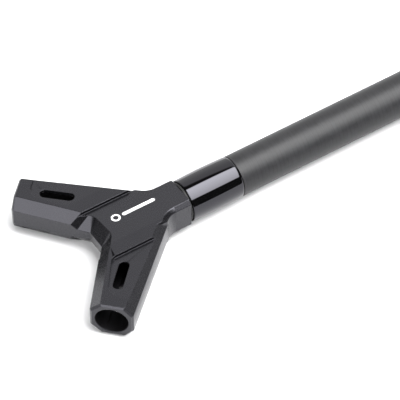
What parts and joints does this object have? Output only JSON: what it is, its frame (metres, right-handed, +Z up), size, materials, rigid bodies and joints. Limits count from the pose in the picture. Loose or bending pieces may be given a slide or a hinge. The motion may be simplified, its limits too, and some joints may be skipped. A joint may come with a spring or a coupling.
{
  "type": "landing net handle with spreader block",
  "caption": "Fishing landing-net handle: machined V-shaped spreader block with net-arm sockets, screwed to a sectional carbon pole with gloss collars, rubber grip and butt cap.",
  "frame": {"origin": "under the middle of the whole handle, on the surface it lies on", "axes": "+X along the pole from the spreader block to the butt; +Y towards the arm that stands a step above the centre band on the upper face; +Z up, out of the block's upper face"},
  "size_m": [1.9032, 0.099, 0.03],
  "materials": {
    "black_anodised": "machined, satin black anodised",
    "stainless_steel": "turned stainless steel",
    "black_steel": "black oxide",
    "black_rubber": "soft matte",
    "bare_aluminium": "turned, uncoated",
    "gloss_lacquer": "high-gloss black lacquer",
    "matte_carbon": "matte unsanded carbon with fine tape marks",
    "spigot_carbon": "ground carbon",
    "closed_foam": "closed-cell foam",
    "grip_rubber": "cross-hatched matte grip"
  },
  "bodies": {
    "upper_section": {"front_insert": "bare_aluminium", "front_collar": "gloss_lacquer", "upper_tube": "matte_carbon", "upper_joint_collar": "gloss_lacquer"},
    "washer": {"sealing_washer": "black_rubber"},
    "block": {"spreader_block": "black_anodised", "block_stud": "stainless_steel", "stud_lock_screw": "black_steel"},
    "joint_cushion": {"joint_ring": "black_rubber"},
    "lower_section": {"spigot": "spigot_carbon", "spigot_bung": "closed_foam", "lower_tube": "matte_carbon", "lower_joint_collar": "gloss_lacquer", "grip_front_ring": "black_anodised", "grip_sleeve": "grip_rubber", "grip_rear_ring": "black_anodised", "butt_insert": "bare_aluminium", "butt_cap": "black_anodised", "butt_screw": "stainless_steel", "butt_pad": "black_rubber"}
  },
  "joints": [
    {"name": "block_advance", "type": "slide", "parent": "upper_section", "child": "washer", "axis": [-1, 0, 0], "range_m": [0, 0.01144]},
    {"name": "block_unscrew", "type": "hinge", "parent": "washer", "child": "block", "pos_m": [-0.87972, 0, 0.015], "axis": [-1, 0, 0], "range_deg": [0, 3240]},
    {"name": "section_pull", "type": "slide", "parent": "upper_section", "child": "joint_cushion", "axis": [1, 0, 0], "range_m": [0, 0.075]},
    {"name": "section_twist", "type": "hinge", "parent": "joint_cushion", "child": "lower_section", "pos_m": [0.03658, 0, 0.015], "axis": [1, 0, 0], "continuous": true}
  ],
  "couplings": [
    {"joint": "block_advance", "follows": "block_unscrew", "m_per_rad": 0.00020213}
  ]
}
